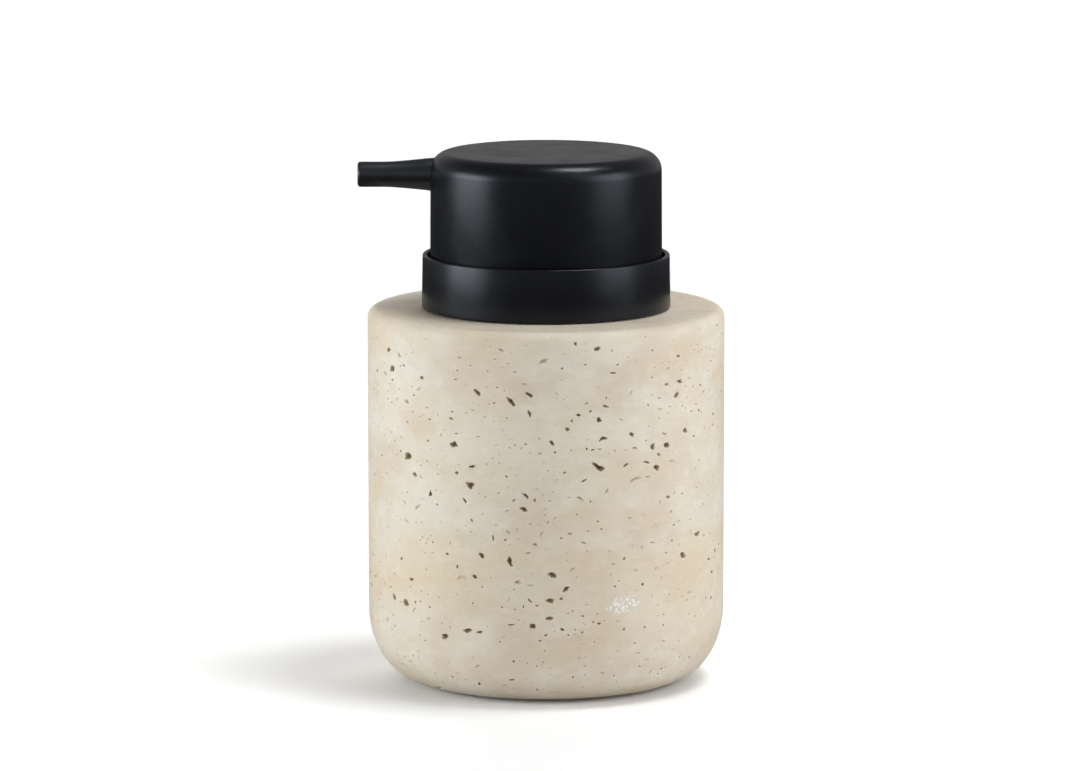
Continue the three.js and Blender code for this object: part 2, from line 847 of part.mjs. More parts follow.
const vessel = new THREE.Group();
add(vessel, "stone_body", stoneBody(), travertine, padProud);
add(vessel, "soap_liner", soapLiner(), clearPlastic, linerBottom);
add(vessel, "base_pad", basePad(), padFoam, 0);

const pump = new THREE.Group();
pump.position.z = stoneTop;
add(pump, "collar_ring", collarRing(), blackPlastic, collarBottom);
add(pump, "collar_washer", collarWasher(), silicone, stoneTop);
add(pump, "mouth_plug", mouthPlug(), innerPlastic, plugTop);
["plug_seal_upper", "plug_seal_lower"].forEach((name, i) => {
  add(pump, name, plugSeal(), silicone, plugTop - sealDepths[i] - snapGap / 2);
});
add(pump, "neck_gasket", neckGasket(), silicone, neckTop + seatGap);
add(pump, "closure_cap", closureCap(), blackPlastic, closureBottom);
add(pump, "pump_housing", pumpHousing(), clearPlastic, flangeBottom);
add(pump, "stem_guide", stemGuide(), innerPlastic, flangeTop + seatGap);
add(pump, "stem_wiper", stemWiper(), silicone, guideTop - wiperGrooveDepth + seatGap);
add(pump, "ball_cage", ballCage(), innerPlastic, cageBottom);
add(pump, "check_ball", checkBall(), steel, ballCentre);
add(pump, "dip_tube", dipTube(), clearPlastic, linerFloorTop + tubeFloorGap);

const head = new THREE.Group();
head.position.z = capTopFace;
add(head, "head_cap", headCap(), blackPlastic, skirtBottom);
add(head, "nozzle", nozzle(), blackPlastic, nozzleAxis);
add(head, "actuator_core", actuatorCore(), innerPlastic, hubBottom);
add(head, "stem", stem(), innerPlastic, stemBottom);
add(head, "piston_seat", pistonSeat(), innerPlastic, seatTop);
add(head, "piston", piston(), clearPlastic, pistonBottom);
add(head, "return_spring", returnSpring(), steel, springBottom);

const dispenser = new THREE.Group();
dispenser.add(vessel, pump, head);

export default dispenser;
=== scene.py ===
"""Looks of the soap pump dispenser.

A travertine vessel with open pits, and a satin black pump with a wide press cap.
"""

import math
import random

import bmesh
import bpy
import numpy as np
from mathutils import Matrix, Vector
from mathutils.geometry import delaunay_2d_cdt


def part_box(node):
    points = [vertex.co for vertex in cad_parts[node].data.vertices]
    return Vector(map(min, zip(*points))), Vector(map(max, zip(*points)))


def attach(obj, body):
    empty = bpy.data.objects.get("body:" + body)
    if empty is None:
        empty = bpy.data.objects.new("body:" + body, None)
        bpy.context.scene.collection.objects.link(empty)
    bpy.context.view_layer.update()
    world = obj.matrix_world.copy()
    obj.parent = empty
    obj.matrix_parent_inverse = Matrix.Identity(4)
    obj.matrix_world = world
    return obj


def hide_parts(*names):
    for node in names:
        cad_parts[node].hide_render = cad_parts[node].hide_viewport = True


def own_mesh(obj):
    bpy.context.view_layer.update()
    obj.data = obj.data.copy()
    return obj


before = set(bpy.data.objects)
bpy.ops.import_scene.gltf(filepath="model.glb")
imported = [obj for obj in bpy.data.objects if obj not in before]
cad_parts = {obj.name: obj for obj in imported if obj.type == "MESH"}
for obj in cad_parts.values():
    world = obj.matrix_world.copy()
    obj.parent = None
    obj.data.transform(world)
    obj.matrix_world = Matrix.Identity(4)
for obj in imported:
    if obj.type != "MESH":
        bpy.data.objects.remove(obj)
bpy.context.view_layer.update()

MM = 0.001
TURN = 2 * math.pi

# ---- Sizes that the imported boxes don't give, in millimetres ------------------------------------------
RIM_ROUNDING = 2.0
FOOT_INSET = 11.0  # half axes of the elliptical rounding at the stone's foot
FOOT_RISE = 16.0
COUNTERBORE_RADIUS = 26.4
COUNTERBORE_DEPTH = 1.25
BORE_RADIUS = 25.1
BORE_FLOOR = 9.0
RECESS_RADIUS = 23.3
RECESS_DEPTH = 1.05
COLLAR_DRAFT = 0.2
COLLAR_WALL = 1.05
COLLAR_FLOOR = 1.5
COLLAR_HOLE_RADIUS = 20.5
COLLAR_ROUNDING = 0.35
EDGE_ROUNDING = 0.4  # lower outer edges of collar and cap, and the corner of the collar's floor
CAP_ROUNDING = 4.0
CAP_DRAFT = 0.1
CAP_WALL = 1.8
CAP_TOP = 1.6
NOZZLE_ROOT_RADIUS = 3.65
NOZZLE_TIP_RADIUS = 2.8
NOZZLE_TIP_LENGTH = 6.0
NOZZLE_TIP_ROUNDING = 0.6
NOZZLE_BORE_RADIUS = 1.5
NOZZLE_SHANK_RADIUS = 2.4
SHANK_GAP = 0.2  # round the nozzle's shank, where it passes through the cap's side
SADDLE_GAP = 0.03


def box_mm(node):
    """Lowest and highest corner of a CAD node, in millimetres."""
    low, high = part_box(node)
    return low / MM, high / MM


# ---- Mesh helpers -------------------------------------------------------------------------------------
def arc(r, z, radius, start, end, steps):
    """Profile points on an arc, angles in degrees from the +r direction towards +z."""
    angles = [math.radians(start + (end - start) * i / steps) for i in range(steps + 1)]
    return [(r + radius * math.cos(a), z + radius * math.sin(a)) for a in angles]


def new_object(name, vertices_mm, faces, sharp_degrees=35):
    """A smooth-shaded object from vertices in millimetres, with sharp edges where its faces meet steeply."""
    mesh = bpy.data.meshes.new(name)
    mesh.from_pydata([Vector(v) * MM for v in vertices_mm], [], faces)
    mesh.shade_smooth()
    if sharp_degrees:
        mesh.set_sharp_from_angle(angle=math.radians(sharp_degrees))
    piece = bpy.data.objects.new(name, mesh)
    bpy.context.scene.collection.objects.link(piece)
    return piece


def lathe_faces(profile, sides):
    """Vertices and outward faces of a profile turned about Z; it ends on the axis or closes on itself."""
    area = sum(r0 * z1 - z0 * r1 for (r0, z0), (r1, z1) in zip(profile, profile[1:] + profile[:1]))
    points = list(profile) if area > 0 else list(reversed(profile))
    vertices, rings = [], []
    for r, z in points:
        if r < 1e-9:
            rings.append([len(vertices)] * sides)
            vertices.append((0, 0, z))
            continue
        rings.append(list(range(len(vertices), len(vertices) + sides)))
        turns = [TURN * k / sides for k in range(sides)]
        vertices += [(r * math.cos(turn), r * math.sin(turn), z) for turn in turns]
    open_ended = points[0][0] < 1e-9 and points[-1][0] < 1e-9
    pairs = list(zip(rings, rings[1:])) if open_ended else list(zip(rings, rings[1:] + rings[:1]))
    faces = []
    for lower, upper in pairs:
        for k in range(sides):
            j = (k + 1) % sides
            corners = [lower[k], lower[j], upper[j], upper[k]]
            face = [c for i, c in enumerate(corners) if c != corners[i - 1]]
            if len(face) > 2:
                faces.append(face)
    return vertices, faces


def turned(name, profile, sides=128, level=0.0, sharp_degrees=35):
    """A solid of revolution about Z from (r, z) points in millimetres, raised by level."""
    vertices, faces = lathe_faces(profile, sides)
    return new_object(name, [(x, y, z + level) for x, y, z in vertices], faces, sharp_degrees)


def stand_in(piece, node, body, material):
    """piece is shown in place of a CAD node and moves with its body."""
    piece.data.materials.clear()
    piece.data.materials.append(material)
    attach(piece, body)
    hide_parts(node)


# ---- Material helpers ---------------------------------------------------------------------------------
class Shader:
    """A material's node tree with short calls that add nodes; coordinates are in millimetres."""

    def __init__(self, name):
        self.material = bpy.data.materials.new(name)
        self.material.use_nodes = True
        self.tree = self.material.node_tree
        self.surface = self.tree.nodes["Principled BSDF"]
        coordinates = self.tree.nodes.new("ShaderNodeTexCoord")
        self.place = self.vector("MULTIPLY", coordinates.outputs["Object"], (1 / MM,) * 3)

    def _feed(self, socket, value):
        if isinstance(value, bpy.types.NodeSocket):
            self.tree.links.new(value, socket)
        elif value is not None:
            socket.default_value = value

    def vector(self, operation, a, b):
        node = self.tree.nodes.new("ShaderNodeVectorMath")
        node.operation = operation
        self._feed(node.inputs[0], a)
        self._feed(node.inputs[1], b)
        return node.outputs["Vector"]

    def math(self, operation, a, b=None, c=None, clamp=False):
        node = self.tree.nodes.new("ShaderNodeMath")
        node.operation = operation
        node.use_clamp = clamp
        for socket, value in zip(node.inputs, (a, b, c)):
            self._feed(socket, value)
        return node.outputs["Value"]

    def noise(self, scale, detail=2.0, roughness=0.5, stretch=(1, 1, 1), at=None, distortion=0.0, offset=0.0):
        """Noise from 0 to 1, scale in features per millimetre, stretched along the axes."""
        place = self.vector("MULTIPLY", at or self.place, tuple(scale * s for s in stretch))
        place = self.vector("ADD", place, (offset, offset * 1.7, offset * 0.6))
        node = self.tree.nodes.new("ShaderNodeTexNoise")
        self._feed(node.inputs["Vector"], place)
        node.inputs["Scale"].default_value = 1.0
        node.inputs["Detail"].default_value = detail
        node.inputs["Roughness"].default_value = roughness
        node.inputs["Distortion"].default_value = distortion
        return node.outputs["Fac"]

    def cells(self, scale, stretch=(1, 1, 1), at=None, randomness=1.0):
        """Distance to the nearest cell centre, in cell sizes."""
        place = self.vector("MULTIPLY", at or self.place, tuple(scale * s for s in stretch))
        node = self.tree.nodes.new("ShaderNodeTexVoronoi")
        self._feed(node.inputs["Vector"], place)
        node.inputs["Scale"].default_value = 1.0
        node.inputs["Randomness"].default_value = randomness
        return node.outputs["Distance"], node.outputs["Color"]

    def ramp(self, value, low, high, start=0.0, end=1.0):
        """value from low to high, mapped smoothly to start to end."""
        node = self.tree.nodes.new("ShaderNodeMapRange")
        node.interpolation_type = "SMOOTHSTEP"
        self._feed(node.inputs["Value"], value)
        for name, number in (("From Min", low), ("From Max", high), ("To Min", start), ("To Max", end)):
            node.inputs[name].default_value = number
        return node.outputs["Result"]

    def mix(self, factor, a, b, blend="MIX"):
        """Colour a with b mixed in by factor."""
        node = self.tree.nodes.new("ShaderNodeMix")
        node.data_type = "RGBA"
        node.blend_type = blend
        self._feed(node.inputs[0], factor)
        self._feed(node.inputs[6], a)
        self._feed(node.inputs[7], b)
        return node.outputs[2]

    def attribute(self, name):
        node = self.tree.nodes.new("ShaderNodeAttribute")
        node.attribute_name = name
        return node.outputs["Fac"]

    def bump(self, height, distance_mm, strength=1.0, before=None):
        node = self.tree.nodes.new("ShaderNodeBump")
        node.inputs["Strength"].default_value = strength
        node.inputs["Distance"].default_value = distance_mm * MM
        self._feed(node.inputs["Height"], height)
        if before is not None:
            self._feed(node.inputs["Normal"], before)
        return node.outputs["Normal"]

    def finish(self, **sockets):
        """Sets or links the surface's sockets and returns the material."""
        for name, value in sockets.items():
            self._feed(self.surface.inputs[name.replace("_", " ")], value)
        return self.material


def colour(red, green, blue):
    """A colour from sRGB parts of 0 to 255."""
    def linear(part):
        part /= 255
        return part / 12.92 if part <= 0.04045 else ((part + 0.055) / 1.055) ** 2.4
    return (linear(red), linear(green), linear(blue), 1.0)


# ---- Travertine ---------------------------------------------------------------------------------------
def travertine_material():
    """Cream stone with soft bedding clouds, a grain, pits with painted shade that deepens inward and a
    painted highlight on their lower lips, and a white pocket.
    """
    s = Shader("travertine")
    drift = s.noise(0.035, detail=2, stretch=(1, 1, 1.3), offset=3.1)
    lift = s.math("MULTIPLY_ADD", drift, 14.0, -7.0)
    combine = s.tree.nodes.new("ShaderNodeCombineXYZ")
    s._feed(combine.inputs["Z"], lift)
    warped = s.vector("ADD", s.place, combine.outputs["Vector"])

    beds = s.noise(0.09, detail=3, roughness=0.55, stretch=(0.2, 0.2, 1.0), at=warped, offset=5.0)
    clouds = s.noise(0.05, detail=4, roughness=0.5, stretch=(1, 1, 1.3), at=warped, offset=1.3)
    mottle = s.noise(0.4, detail=5, roughness=0.6, stretch=(0.8, 0.8, 1.2), offset=8.0)
    grain = s.noise(3.2, detail=3, roughness=0.6, offset=2.0)

    cream = colour(207, 198, 183)
    base = s.mix(s.ramp(beds, 0.42, 0.7, 0.0, 0.55), cream, colour(198, 183, 160))
    base = s.mix(s.ramp(clouds, 0.46, 0.64, 0.0, 0.7), base, colour(204, 199, 188))
    pinks = s.noise(0.065, detail=3, roughness=0.5, stretch=(0.9, 0.9, 1.2), at=warped, offset=21.0)
    base = s.mix(s.ramp(pinks, 0.44, 0.66, 0.0, 0.75), base, colour(196, 181, 163))
    ochres = s.noise(0.06, detail=3, roughness=0.5, stretch=(0.7, 0.7, 1.4), at=warped, offset=72.0)
    base = s.mix(s.ramp(ochres, 0.48, 0.7, 0.0, 0.5), base, colour(196, 179, 150))
    split = s.tree.nodes.new("ShaderNodeSeparateXYZ")
    s._feed(split.inputs["Vector"], warped)
    level = s.math("MULTIPLY_ADD", clouds, 16.0, split.outputs["Z"])
    bed = s.ramp(s.math("ABSOLUTE", s.math("SUBTRACT", level, 36.0)), 3.0, 12.0, 0.4, 0.0)
    base = s.mix(bed, base, colour(200, 183, 152))

    seams = s.noise(0.16, detail=4, roughness=0.55, stretch=(0.16, 0.16, 1.0), at=warped, offset=13.0)
    seam = s.ramp(s.math("ABSOLUTE", s.math("SUBTRACT", seams, 0.5)), 0.0, 0.03, 0.08, 0.0)
    base = s.mix(seam, base, colour(178, 160, 131))
    base = s.mix(s.ramp(mottle, 0.42, 0.72, 0.0, 0.2), base, colour(190, 176, 153))
    base = s.mix(s.ramp(mottle, 0.28, 0.46, 0.22, 0.0), base, colour(220, 213, 201))
    base = s.mix(s.ramp(grain, 0.45, 0.8, 0.0, 0.1), base, colour(170, 155, 130))

    speck, _ = s.cells(1.0, stretch=(0.7, 0.7, 1.3))
    patchy = s.ramp(s.noise(0.25, detail=2, offset=30.0), 0.48, 0.62)
    faint = s.noise(1.3, detail=1, offset=34.0)
    dots = s.math("MULTIPLY", s.ramp(speck, 0.08, 0.24, 0.6, 0.0), s.math("MULTIPLY", patchy, faint))
    base = s.mix(dots, base, colour(150, 131, 100))
    wisps = s.noise(0.8, detail=2, stretch=(0.35, 0.35, 1.4), offset=40.0, distortion=0.8)
    wisp = s.ramp(s.math("ABSOLUTE", s.math("SUBTRACT", wisps, 0.5)), 0.0, 0.014, 0.4, 0.0)
    wisp = s.math("MULTIPLY", wisp, s.ramp(s.noise(0.22, detail=1, offset=50.0), 0.58, 0.66))
    base = s.mix(wisp, base, colour(158, 141, 112))
    # Painted highlight: paler stone round the pits' rims, most on their lower lips as if lit from above,
    # patchy with the mottle.
    lip_highlight = s.math("MULTIPLY", s.ramp(s.attribute("lip_highlight"), 0.0, 0.9, 0.0, 0.55), s.ramp(mottle, 0.3, 0.6))
    base = s.mix(lip_highlight, base, colour(229, 222, 209))

    calcite = s.ramp(s.attribute("calcite"), 0.25, 0.75)
    crystals, _ = s.cells(1.6)
    white = s.mix(s.ramp(crystals, 0.15, 0.7), colour(226, 222, 214), colour(196, 189, 176))
    base = s.mix(calcite, base, white)

    # Painted shade: the pits darken towards their bottoms, more in the darker pits, with ragged edges; the
    # same mask also makes them rougher.
    pit_shade = s.attribute("pit_shade")
    ragged = s.math("MULTIPLY_ADD", s.noise(2.6, detail=2, offset=60.0), 0.9, -0.45)
    depth = s.math("ADD", pit_shade, s.math("MULTIPLY", ragged, pit_shade))
    base = s.mix(s.ramp(depth, 0.05, 0.55), base, colour(146, 124, 90))
    base = s.mix(s.ramp(depth, 0.55, 1.0), base, colour(88, 69, 44))

    fine = s.bump(grain, 0.02, 0.6)
    worn = s.bump(mottle, 0.05, 0.5, before=fine)
    rough = s.ramp(mottle, 0.2, 0.8, 0.46, 0.62)
    rough = s.math("MAXIMUM", rough, s.math("MULTIPLY", pit_shade, 0.9))
    s.surface.inputs["Specular IOR Level"].default_value = 0.4
    return s.finish(Base_Color=base, Roughness=rough, Normal=worn)


# ---- The stone's skin, with its pits ------------------------------------------------------------------
stone_low, stone_high = box_mm("stone_body")
STONE_RADIUS = stone_high.x
STONE_FOOT = stone_low.z
STONE_TOP = stone_high.z
ARC_STEPS = 60


def skin_outline():
    """The skin's outline from mouth to recess, as columns: distance, radius, height, outward normal."""
    t = np.linspace(0, math.pi / 2, ARC_STEPS)
    top = [(COUNTERBORE_RADIUS, STONE_TOP, 0, 1)]
    rim = [
        STONE_RADIUS - RIM_ROUNDING * (1 - np.sin(t)),
        STONE_TOP - RIM_ROUNDING * (1 - np.cos(t)),
        np.sin(t),
        np.cos(t),
    ]
    lean = np.hypot(np.cos(t) / FOOT_INSET, np.sin(t) / FOOT_RISE)
    foot = [
        STONE_RADIUS - FOOT_INSET * (1 - np.cos(t)),
        STONE_FOOT + FOOT_RISE * (1 - np.sin(t)),
        np.cos(t) / FOOT_INSET / lean,
        -np.sin(t) / FOOT_RISE / lean,
    ]
    end = [(RECESS_RADIUS, STONE_FOOT, 0, -1)]
    points = np.concatenate([top, np.transpose(rim), np.transpose(foot), end])
    steps = np.hypot(np.diff(points[:, 0]), np.diff(points[:, 1]))
    return np.column_stack([np.concatenate([[0], np.cumsum(steps)]), points])


OUTLINE = skin_outline()
RIM_START, SIDE_START, FOOT_START, BOTTOM_START = OUTLINE[[1, ARC_STEPS, ARC_STEPS + 1, 2 * ARC_STEPS], 0]
TOP_WIDTH = RIM_START
SKIN_LENGTH = OUTLINE[-1, 0]
SKIN_GIRTH = TURN * STONE_RADIUS
COLUMNS = 192
SEAM_MARGIN = 2.5
FRONT = -math.pi / 2  # the front faces -Y, and the skin's seam is at the back


def skin_profile(s):
    """Radius, height and outward normal of the skin at distance s from the mouth, a number or an array."""
    return [np.interp(s, OUTLINE[:, 0], OUTLINE[:, column]) for column in (1, 2, 3, 4)]


def skin_points(u, s, depth=0.0):
    """Points in millimetres at distance u round the girth and s down the outline, sunk by depth."""
    r, z, nr, nz = skin_profile(s)
    angle = FRONT + math.pi + np.asarray(u, float) / STONE_RADIUS
    radial = r - nr * depth
    return np.stack([radial * np.cos(angle), radial * np.sin(angle), z - nz * depth], axis=-1)


class Pit:
    """A hole with a ragged oval outline, u round the girth and s down the skin, all in millimetres."""

    def __init__(self, rng, u, s, length, width, tilt=0.0, bend=0.0, depth=None, dark=1.0):
        self.u, self.s = u, s
        self.length, self.width = length, width
        self.tilt, self.bend = tilt, bend
        self.depth = depth or width * rng.uniform(0.35, 0.6)
        self.dark = dark
        self.count = int(min(22, max(7, 5 + (length + width) / 0.2)))
        self.waves = [(k, rng.uniform(0, TURN), rng.gauss(0, 0.36 / k)) for k in (2, 3, 4, 5)]
        self.shift = (rng.uniform(-0.12, 0.12), rng.uniform(0.0, 0.28))
        self.reach = 0.62 * max(length, width) + abs(bend) * length ** 2 / 8

    def has_lip(self):
        """Whether the pit is dark and long enough for a painted highlight round its rim."""
        return self.dark > 0.5 and self.length > 0.5

    def steps(self):
        """Rings of the pit's wall from the rim down, as (scale, share of the depth)."""
        if self.dark <= 0.5:
            return [(0.6, 0.8)]
        if self.width <= 0.55:
            return [(0.74, 0.48), (0.34, 0.9)]
        return [(0.9, 0.25), (0.68, 0.6), (0.36, 0.92)]

    def outline(self, scale=1.0):
        """Outline points as (u, s), scaled about the pit's middle."""
        t = np.arange(self.count) * TURN / self.count
        ragged = 1 + sum(a * np.cos(k * t + phase) for k, phase, a in self.waves)
        ragged = np.clip(ragged, 0.45, 1.5)
        x = 0.5 * self.length * np.cos(t) * ragged * scale
        y = 0.5 * self.width * np.sin(t) * ragged * scale
        y = y + self.bend * (x ** 2 - (self.length / 4) ** 2)
        x = x + self.shift[0] * self.length * (1 - scale)
        y = y + self.shift[1] * self.width * (1 - scale)
        c, n = math.cos(self.tilt), math.sin(self.tilt)
        stretch = STONE_RADIUS / float(skin_profile(self.s)[0])
        return self.u + (x * c - y * n) * stretch, self.s - (x * n + y * c)


# A pocket of white crystal low on the front, to the right.
CALCITE_ANGLE = 25  # degrees to the right of the front
CALCITE_RISE = 0.27  # share of the stone's height
CALCITE_HALF_LENGTH = 4.2
CALCITE_HALF_WIDTH = 1.5
CALCITE_TILT = 8  # degrees
CALCITE_LIMIT = 12  # nothing further than this from its middle belongs to it

LARGE_GROUPS = 75  # loose groups of one to four large pits
LARGE_GAP = 0.4  # between a large pit and its neighbours
RANDOM_PITS = 1700
CHAINS = 130
TOP_PITS = 40
LIP = 0.24  # width of the painted highlight round a pit's rim


def scatter_pits():
    """All the pits: loose groups of large ones, chains along the bedding, and single ones of falling size."""
    rng = random.Random(4711)
    pits = []
    grid = {}
    cell = 3.0

    def try_add(pit, gap=0.22):
        margin = pit.reach + gap
        if not SEAM_MARGIN + margin < pit.u < SKIN_GIRTH - SEAM_MARGIN - margin:
            return
        if not 1.2 + margin < pit.s < SKIN_LENGTH - 0.8 - margin:
            return
        i, j = int(pit.u // cell), int(pit.s // cell)
        near = [q for a in (-1, 0, 1) for b in (-1, 0, 1) for q in grid.get((i + a, j + b), [])]
        if any(math.hypot(pit.u - q.u, pit.s - q.s) < pit.reach + q.reach + gap for q in near):
            return
        grid.setdefault((i, j), []).append(pit)
        pits.append(pit)

    def large_pit(u, s):
        """A hole that stands out: one to three millimetres long, leaning any way, and now and then curved."""
        length = min(3.0, rng.uniform(1.1, 1.7) * math.exp(abs(rng.gauss(0, 0.35))))
        width = min(1.4, length * rng.uniform(0.28, 0.75))
        tilt = math.radians(rng.gauss(0, 35))
        bend = rng.choice((0, 0, 0, 0, 0.12, -0.16, -0.3))
        return Pit(rng, u, s, length, width, tilt, bend, 0.6 * width, rng.uniform(0.8, 1.0))

    def random_pit(u, s, largest):
        size = min(largest, rng.uniform(0.36, 0.52) * math.exp(abs(rng.gauss(0, 0.55))))
        width = max(0.24, size * rng.uniform(0.42, 0.85))
        bend = rng.choice((0, 0, 0, -0.35, 0.25)) / max(size, 0.6)
        tilt = rng.gauss(0, 0.5) if rng.random() < 0.8 else rng.uniform(0.8, 2.3)
        if rng.random() < 0.62:
            length, arched = 1.5 * size, rng.choice((-0.3, -0.2, 0, 0.2)) / size
            faint = rng.uniform(0.25, 0.5)
            return Pit(rng, u, s, length, 0.8 * width, 0.6 * tilt, arched, 0.25 * width, faint)
        return Pit(rng, u, s, size, width, tilt, bend, None, rng.uniform(0.5, 1.0))

    for _ in range(LARGE_GROUPS):
        u, s = rng.uniform(0, SKIN_GIRTH), rng.uniform(SIDE_START + 2, BOTTOM_START - 3)
        for _ in range(rng.randint(1, 4)):
            try_add(large_pit(u + rng.gauss(0, 3.0), s + rng.gauss(0, 2.0)), LARGE_GAP)
    for _ in range(CHAINS):
        u, s = rng.uniform(0, SKIN_GIRTH), rng.uniform(SIDE_START, BOTTOM_START - 6)
        slope = rng.gauss(0, 0.3)
        for _ in range(rng.randint(3, 8)):
            try_add(random_pit(u, s + rng.gauss(0, 0.7), 1.3))
            step = rng.uniform(0.9, 2.4)
            u, s = u + step, s + step * slope
    for _ in range(RANDOM_PITS):
        u, s = rng.uniform(0, SKIN_GIRTH), rng.uniform(SIDE_START - 0.5, BOTTOM_START - 1)
        try_add(random_pit(u, s, 1.6))
    for _ in range(TOP_PITS):
        try_add(random_pit(rng.uniform(0, SKIN_GIRTH), rng.uniform(2.0, TOP_WIDTH), 0.8))
    return pits


def skin_rows():
    """Distances down the outline at which the skin has a row of points."""
    parts = [
        np.linspace(0, RIM_START, 8)[:-1],
        np.linspace(RIM_START, SIDE_START, 7)[:-1],
        np.linspace(SIDE_START, FOOT_START, 48)[:-1],
        np.linspace(FOOT_START, BOTTOM_START, 19)[:-1],
        np.linspace(BOTTOM_START, SKIN_LENGTH, 4),
    ]
    return np.concatenate(parts)


def stone_mesh():
    """The stone as one closed mesh: skin with pits, mouth and bore, and the recess under the foot."""
    pits = scatter_pits()
    rows = skin_rows()
    columns = np.linspace(0, SKIN_GIRTH, COLUMNS + 1)
    grid_u, grid_s = [a.ravel() for a in np.meshgrid(columns, rows)]
    keep = np.ones(len(grid_u), bool)
    for pit in pits:
        room = pit.reach + 0.3
        near = (np.abs(grid_u - pit.u) < 2 * room) & (np.abs(grid_s - pit.s) < room)
        if not near.any():
            continue
        pit_u, pit_s = pit.outline()
        spots = np.flatnonzero(near)
        apart = np.hypot(grid_u[spots, None] - pit_u, grid_s[spots, None] - pit_s).min(1)
        from_middle = np.hypot(grid_u[spots] - pit.u, grid_s[spots] - pit.s)
        inside = from_middle < 0.5 * max(pit.width, pit.length * 0.8)
        keep[spots[(apart < 0.3) | inside]] = False
    grid_u, grid_s = grid_u[keep], grid_s[keep]

    flat = list(zip(grid_u, grid_s))
    marks = [(0.0, 0.0)] * len(flat)  # painted shade in a pit by depth, and painted highlight on its lip, for each vertex
    outlines = []
    for pit in pits:
        pit_u, pit_s = pit.outline()
        outlines.append(list(range(len(flat), len(flat) + pit.count)))
        flat += list(zip(pit_u, pit_s))
        if not pit.has_lip():
            marks += [(0.0, 0.0)] * pit.count
            continue
        # painted highlight on the rim, strongest towards the pit's lower side, fading to nothing at the ring
        # outside it
        marks += [(0.0, float(share)) for share in np.clip(0.35 + (pit_s - pit.s) / pit.width, 0.1, 1)]
        flat += list(zip(*pit.outline(1 + 4 * LIP / (pit.length + pit.width))))
        marks += [(0.0, 0.0)] * pit.count
    holes = [outline[::-1] for outline in outlines]  # only counterclockwise outlines are taken as holes
    made = delaunay_2d_cdt([Vector(p) for p in flat], [], holes, 0, 1e-6, True)
    made_flat, made_faces, made_from, face_from = made[0], made[2], made[3], made[5]
    if len(made_flat) != len(flat) or any(len(ids) != 1 for ids in made_from):
        raise RuntimeError("two pits of the stone's skin cross: widen the gap between pits")
    source = [ids[0] for ids in made_from]
    skin = [[source[v] for v in face] for face, owner in zip(made_faces, face_from) if not owner]

    flat = np.array(flat)
    vertices = [tuple(p) for p in skin_points(flat[:, 0], flat[:, 1])]
    first = {round(s, 6): i for i, (u, s) in enumerate(zip(grid_u, grid_s)) if u < 1e-6}
    merged = {i: first[round(s, 6)] for i, (u, s) in enumerate(zip(grid_u, grid_s)) if u > SKIN_GIRTH - 1e-6}
    faces = [[merged.get(v, v) for v in face] for face in skin]
    sharp = set()

    for pit, rim in zip(pits, outlines):
        ring = rim
        sharp.update(frozenset((rim[k], rim[k - 1])) for k in range(len(rim)))
        for scale, sunk in pit.steps():
            ring_u, ring_s = pit.outline(scale)
            start = len(vertices)
            vertices += [tuple(p) for p in skin_points(ring_u, ring_s, sunk * pit.depth)]
            # painted shade, growing with the ring's depth and the pit's darkness
            marks += [(pit.dark * sunk, 0.0)] * pit.count
            lower = list(range(start, start + pit.count))
            faces += [[ring[k - 1], ring[k], lower[k], lower[k - 1]] for k in range(pit.count)]
            ring = lower
        middle_u, middle_s = pit.outline(0.0)
        vertices.append(tuple(skin_points(middle_u[0], middle_s[0], pit.depth)))
        marks.append((pit.dark, 0.0))
        faces += [[ring[k - 1], ring[k], len(vertices) - 1] for k in range(pit.count)]

    def boundary(s):
        ids = [i for i, place in enumerate(grid_s) if abs(place - s) < 1e-6 and i not in merged]
        return sorted(ids, key=lambda i: grid_u[i])

    def close(ring, profile):
        """Carries a boundary ring on through (r, z) points to the axis."""
        angles = [FRONT + math.pi + TURN * k / COLUMNS for k in range(COLUMNS)]
        sharp.update(frozenset((ring[k], ring[k - 1])) for k in range(COLUMNS))
        for r, z in profile[:-1]:
            start = len(vertices)
            vertices.extend((r * math.cos(a), r * math.sin(a), z) for a in angles)
            marks.extend([(0.0, 0.0)] * COLUMNS)
            lower = list(range(start, start + COLUMNS))
            faces.extend([ring[k - 1], ring[k], lower[k], lower[k - 1]] for k in range(COLUMNS))
            sharp.update(frozenset((lower[k], lower[k - 1])) for k in range(COLUMNS))
            ring = lower
        vertices.append((0.0, 0.0, profile[-1][1]))
        marks.append((0.0, 0.0))
        faces.extend([ring[k - 1], ring[k], len(vertices) - 1] for k in range(COLUMNS))

    shelf = STONE_TOP - COUNTERBORE_DEPTH
    floor = STONE_FOOT + BORE_FLOOR
    mouth = [(COUNTERBORE_RADIUS, shelf), (BORE_RADIUS, shelf), (BORE_RADIUS, floor), (0.0, floor)]
    close(boundary(0.0), mouth)
    roof = STONE_FOOT + RECESS_DEPTH
    close(boundary(SKIN_LENGTH), [(RECESS_RADIUS, roof), (0.0, roof)])
    return vertices, faces, marks, sharp, pits


def drop_unused(vertices, faces, values):
    """The same mesh without the vertices that no face uses, and the new number of each kept one."""
    used = sorted({v for face in faces for v in face})
    number = {old: new for new, old in enumerate(used)}
    kept_faces = [[number[v] for v in face] for face in faces]
    return [vertices[i] for i in used], kept_faces, [values[i] for i in used], number


